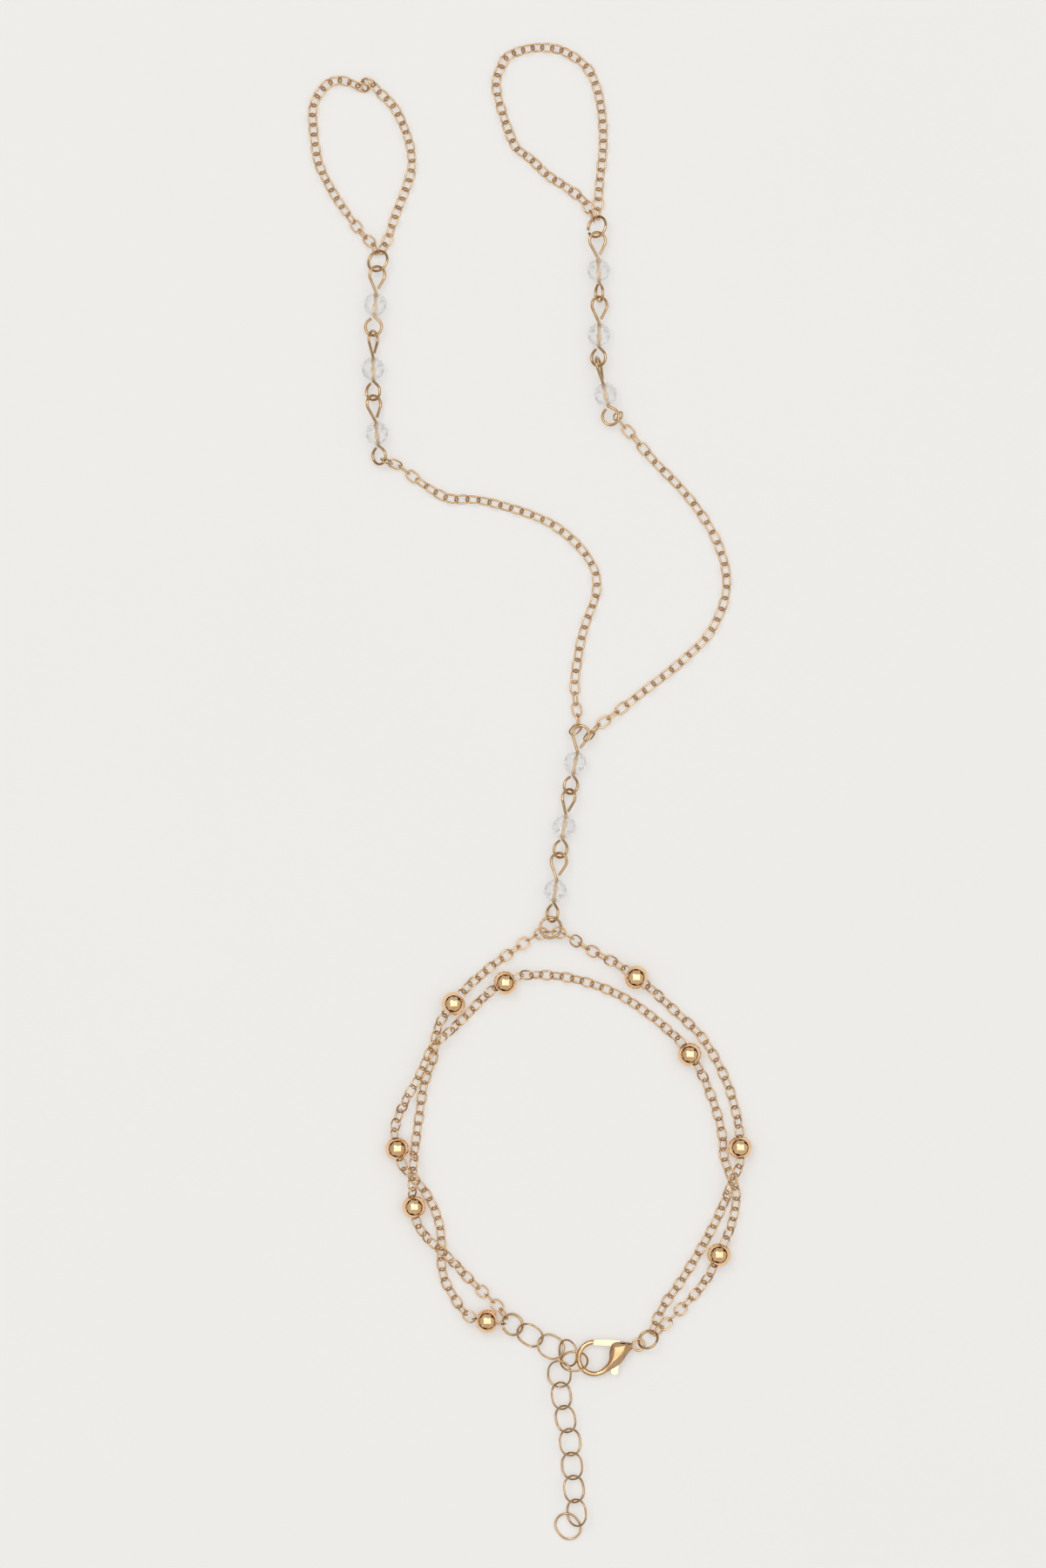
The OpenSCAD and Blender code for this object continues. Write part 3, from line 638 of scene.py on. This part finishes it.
soft = nodes["clasp_lever"].modifiers.new("tumbled edges", "BEVEL")
soft.width = EDGE_WIDTH
soft.segments = EDGE_STEPS
soft.limit_method = "ANGLE"
soft.angle_limit = math.radians(EDGE_ANGLE)
print(f"bevel of {soft.width / MM:.2f} mm on the lever")

# %% [markdown]
# The clasp's body is a drop of metal with four long facets on each side, which runs out into
# the hook. A subdivision surface would melt the facets' ridges away. The CAD solid has the
# same sections as here, but straight lines between them. So smooth curves run through the
# sections' corners, and each corner is rounded a little: the ridges stay crisp and the light
# still slides over them. Places are shares of the hook's radius, and heights are shares of
# half the clasp's thickness.

# %% Sections of the clasp's body
HOOK_R = 2.29
HALF_THICK = 1
CLASP_MIDDLE = np.array([9.25, -81.2, 1.0])
# Inner edge, two ridges, outer edge, height of the ridges, height of the edges
BODY_SECTIONS = [
    ((2.39, 0.94), (2.39, 0.85), (2.39, 0.7), (2.39, 0.6), 0.3, 0.2),
    ((1.92, 1.0), (1.88, 0.81), (1.94, 0.72), (2.21, 0.41), 0.85, 0.5),
    ((1.18, 0.96), (1.31, 0.63), (1.72, 0.48), (2.01, 0.17), 1.0, 0.6),
    ((0.94, 0.41), (1.24, 0.33), (1.55, 0.22), (1.81, -0.13), 1.0, 0.62),
    ((0.92, 0.0), (1.14, -0.02), (1.35, -0.09), (1.57, -0.39), 0.95, 0.6),
    ((0.81, -0.31), (0.94, -0.37), (1.11, -0.48), (1.27, -0.59), 0.75, 0.5),
]
# Where the body becomes the hook: angle round the hook, half width, the same two heights
ROOT_SECTIONS = [(-45, 0.2, 0.5, 0.3), (-62, 0.17, 0.42, 0.24), (-80, 0.155, 0.36, 0.2)]
RIDGE_SHARE = 0.42


def root_corners(angle, half_width, ridge, edge):
    """A section at an angle round the hook, written like those of the body."""
    out = np.array([math.cos(math.radians(angle)), math.sin(math.radians(angle))])
    steps = (-1, -RIDGE_SHARE, RIDGE_SHARE, 1)
    return (*[(1 + step * half_width) * out for step in steps], ridge, edge)


def section_corners(section):
    """The eight corners of a section, from its outer edge over the top and back below."""
    inner, inner_ridge, outer_ridge, outer, ridge, edge = section
    top = ((outer, edge), (outer_ridge, ridge), (inner_ridge, ridge), (inner, edge))
    above = [(x * HOOK_R, y * HOOK_R, height * HALF_THICK) for (x, y), height in top]
    return above + [(x, y, -height) for x, y, height in reversed(above)]


stations = BODY_SECTIONS + [root_corners(*section) for section in ROOT_SECTIONS]
print(f"{len(stations)} sections")

# %% [markdown]
# With the same number of corners in each section, a curve can follow each corner from
# section to section, and the body is the skin over all the curves.

# %% The clasp's body
BODY_STEPS = 8
ROUNDING = 0.13
# The most of a side that the rounding of one corner takes
MOST_OF_SIDE = 0.45


def rounded(ring):
    """A closed outline with three points in place of each corner."""
    points = []
    for k, corner in enumerate(ring):
        sides = []
        for other in (ring[k - 1], ring[(k + 1) % len(ring)]):
            away = other - corner
            sides.append(corner + away * min(MOST_OF_SIDE, ROUNDING / np.linalg.norm(away)))
        points += [sides[0], (sides[0] + 2 * corner + sides[1]) / 4, sides[1]]
    return np.array(points)


def skinned(name, rings, closed=False):
    """A mesh through rings of points; an open one gets a cap at each end."""
    sides = len(rings[0])
    faces = tube_faces(len(rings), sides, closed)
    if not closed:
        last = (len(rings) - 1) * sides
        faces += [tuple(range(sides)), tuple(last + j for j in reversed(range(sides)))]
    mesh = bpy.data.meshes.new(name)
    mesh.from_pydata((np.concatenate(rings) * MM).tolist(), [], faces)
    return mesh


corner_lines = zip(*[section_corners(section) for section in stations])
outlines = np.array([smooth(line, BODY_STEPS) for line in corner_lines]).transpose(1, 0, 2)
# A curve may swing out past the sections' corners, and the clasp is no thicker than they are
outlines[:, :, 2] = outlines[:, :, 2].clip(-HALF_THICK, HALF_THICK)
drop = skinned("clasp_drop", [rounded(outline) + CLASP_MIDDLE for outline in outlines])
print(f"clasp body of {len(drop.polygons)} faces")

# %% [markdown]
# The lever's arm moves in a slot through the body. Cutting it by hand would mean a new set of
# faces for each change of the sections. A boolean modifier cuts it instead, and the result
# is read back from the evaluated object, so that the cutter can go again.

# %% The lever's slot
# Corners of the slot seen from above, as shares of the hook's radius
SLOT = [
    (0.96, -1.31), (0.96, -0.63), (1.09, -0.39), (1.18, 0.31), (0.87, 0.31), (0.87, 1.31),
    (1.97, 1.31), (1.83, 0.44), (2.45, -1.05), (2.45, -1.31),
]
SLOT_HALF_WIDTH = 0.46

slot_rings = [
    [CLASP_MIDDLE + (x * HOOK_R, y * HOOK_R, z) for x, y in SLOT]
    for z in (-SLOT_HALF_WIDTH, SLOT_HALF_WIDTH)
]
cutter = add_object("slot_cutter", skinned("slot_cutter", slot_rings))
drop_piece = add_object("clasp_drop", drop)
cut = drop_piece.modifiers.new("slot", "BOOLEAN")
cut.object = cutter
cut.solver = "EXACT"
evaluated = drop_piece.evaluated_get(bpy.context.evaluated_depsgraph_get())
slotted = bpy.data.meshes.new_from_object(evaluated)
for thing in (cutter, drop_piece):
    bpy.data.objects.remove(thing)
print(f"slotted body of {len(slotted.polygons)} faces")

# %% [markdown]
# The hook is bent round wire, and the eye that the jump ring goes through is a plain ring. A
# torus would do for the eye but not for the hook, whose tip is cut along the gate's swing,
# so both are rings of points with a skin over them.

# %% Hook and eye
ROUND_SIDES = 28
HOOK_WIRE = 0.74
# The top of the hook in degrees, the turn from there round the far side into the body, and
# the steps on the way
HOOK_START, HOOK_TURN, HOOK_STEPS = 90, 230, 72
# The tip is this many steps short of the top
TIP_STEP = 2
# Two places on the cut at the tip seen from above, as shares of the hook's radius
TIP_LOW, TIP_HIGH = (-0.105, 0.79), (-0.025, 1.25)
EYE_MIDDLE = CLASP_MIDDLE + (6.3, 1.9, 0)
EYE_R, EYE_WIRE, EYE_STEPS = 0.82, 0.36, 48


def wire_ring(middle, r, wire, angle):
    """The points round a wire at one place on a ring of wire that lies flat."""
    out = Vector((math.cos(angle), math.sin(angle), 0))
    return np.array(wire_circle(middle + out * r, out, wire, ROUND_SIDES))


hook = [
    wire_ring(Vector((0, 0, 0)), HOOK_R, HOOK_WIRE, math.radians(HOOK_START + step))
    for step in [HOOK_TURN * i / HOOK_STEPS for i in range(TIP_STEP, HOOK_STEPS + 1)]
]
lean = (TIP_HIGH[0] - TIP_LOW[0]) / (TIP_HIGH[1] - TIP_LOW[1])
tip = hook[0]
tip[:, 0] = HOOK_R * TIP_LOW[0] + lean * (tip[:, 1] - HOOK_R * TIP_LOW[1])
eye = [
    wire_ring(Vector(EYE_MIDDLE), EYE_R, EYE_WIRE, 2 * math.pi * i / EYE_STEPS)
    for i in range(EYE_STEPS)
]
print(f"hook of {len(hook)} rings, eye of {len(eye)}")

# %% [markdown]
# Body, hook and eye are one casting on the real clasp, so they become one piece. They run
# into each other, and a second boolean would fuse them, but nobody sees the inside of solid
# metal: joining the meshes is enough, and it can't fail on a thin edge.

# %% One casting
SHARP_ANGLE = 50

casting = bmesh.new()
casting.from_mesh(slotted)
casting.from_mesh(skinned("hook", [ring + CLASP_MIDDLE for ring in hook]))
casting.from_mesh(skinned("eye", eye, closed=True))
bmesh.ops.recalc_face_normals(casting, faces=casting.faces)
cast_mesh = bpy.data.meshes.new("clasp_casting")
casting.to_mesh(cast_mesh)
casting.free()
cast_mesh.set_sharp_from_angle(angle=math.radians(SHARP_ANGLE))
cast_mesh.materials.append(gold["cast"])
for face in cast_mesh.polygons:
    face.use_smooth = True
    face.material_index = 0
clasp_casting = add_object("clasp_casting", cast_mesh)
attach(clasp_casting, BODY)
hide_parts("clasp_body")
print(f"clasp casting of {len(cast_mesh.polygons)} faces")

# %% [markdown]
# The table is a smooth off-white board, large enough for the views from the side too. Bright
# light alone would make it pale, but would also burn out the gold. So the board glows
# faintly, as a light table does, which also keeps the shadows as pale as they are.

# %% Table
HALF_TABLE = 1.5
CLOUDS, TOOTH = 40 * MM, 0.4 * MM
TOOTH_DEPTH, TOOTH_STRENGTH = 0.01 * MM, 0.1
GLOW = 0.38


def board_finish(name):
    recipe = Recipe(name)
    clouds = recipe.noise(CLOUDS, detail=2)
    recipe.uneven(TOOTH_DEPTH, TOOTH_STRENGTH, recipe.noise(TOOTH, detail=3))
    return recipe.finish(
        Base_Color=recipe.mix(clouds, rgb("C0BFBD"), rgb("BEBDBB")),
        Roughness=0.9,
        IOR=1.3,
        Emission_Color=rgb("F0EFEC"),
        Emission_Strength=GLOW,
    )


board_corners = [(x * HALF_TABLE, y * HALF_TABLE, 0) for x, y in ((-1, -1), (1, -1), (1, 1), (-1, 1))]
board = bpy.data.meshes.new("table")
board.from_pydata(board_corners, [], [(0, 1, 2, 3)])
board.materials.append(board_finish("off_white_board"))
table = add_object("table", board)
print(f"table {2 * HALF_TABLE:.0f} m wide")

# %% [markdown]
# Polished metal shows only what it reflects. Lamps alone would leave it black with a few
# bright dots, so the world round the table is a studio. A white screen overhead gives each
# wire and bead its bright top, the grey room behind it gives the gold its middle tone, and a
# dark band round the horizon, broken up by whatever stands in the room, gives the brown
# lines near its edges. A direction is three numbers, east, north and up, whose squares add
# up to one.

# %% Studio
SCREEN_EAST, SCREEN_NORTH = 0.55, 0.43
SHIFT_EAST, SHIFT_NORTH = 0.06, 0.05
SCREEN_EDGE = 0.12
# The screen fades out from this height down to the horizon
FADE_FROM = 0.1
# How wide and how high the clutter's patches are, seen from a distance of one
CLUTTER_SIZE = 1 / 2.2
CLUTTER_HEIGHT = 1.3
DARK_UNTIL, GREY_FROM = 0.17, 0.38
DARK_ROOM, GREY_ROOM = (0.03, 0.013, 0.006, 1), (0.6, 0.59, 0.58, 1)
SCREEN = (1.75, 1.75, 1.75, 1)

scene = bpy.context.scene
scene.view_settings.view_transform = "Standard"
studio = Recipe("studio", bpy.data.worlds, "Background", "World Output")
scene.world = studio.owner
direction = studio.add("ShaderNodeTexCoord").outputs["Generated"]
axes = studio.add("ShaderNodeSeparateXYZ", None, {0: direction})
east, north, up = [Values(studio, axes.outputs[k]) for k in range(3)]

across = abs(east - SHIFT_EAST) / SCREEN_EAST
along = abs(north - SHIFT_NORTH) / SCREEN_NORTH
outside = across.larger(along).between(1 - SCREEN_EDGE, 1 + SCREEN_EDGE)
overhead = up.between(0, FADE_FROM) * (1 - outside)

clutter = studio.noise(CLUTTER_SIZE, detail=1, at=direction)
room = (up + CLUTTER_HEIGHT * (clutter - 0.5)).between(DARK_UNTIL, GREY_FROM)
studio.finish(Color=studio.mix(overhead, studio.mix(room, DARK_ROOM, GREY_ROOM), SCREEN))
print(f"studio of {len(studio.tree.nodes)} nodes")

# %% [markdown]
# The photograph's metal has small second highlights beside the screen's. One soft area lamp
# at the upper left gives them; a sun lamp would make them too hard.

# %% Lamp
LAMP_PLACE = (-0.35, 0.45, 1.1)
LAMP_SIZE = 0.45
LAMP_POWER = 1.7

key_lamp = add_object("key_lamp", bpy.data.lights.new("key_lamp", "AREA"))
key_lamp.data.size = LAMP_SIZE
key_lamp.data.energy = LAMP_POWER
key_lamp.location = LAMP_PLACE
key_lamp.rotation_euler = (-Vector(LAMP_PLACE)).to_track_quat("-Z", "Y").to_euler()
print(f"lamp {key_lamp.location.length:.2f} m away")
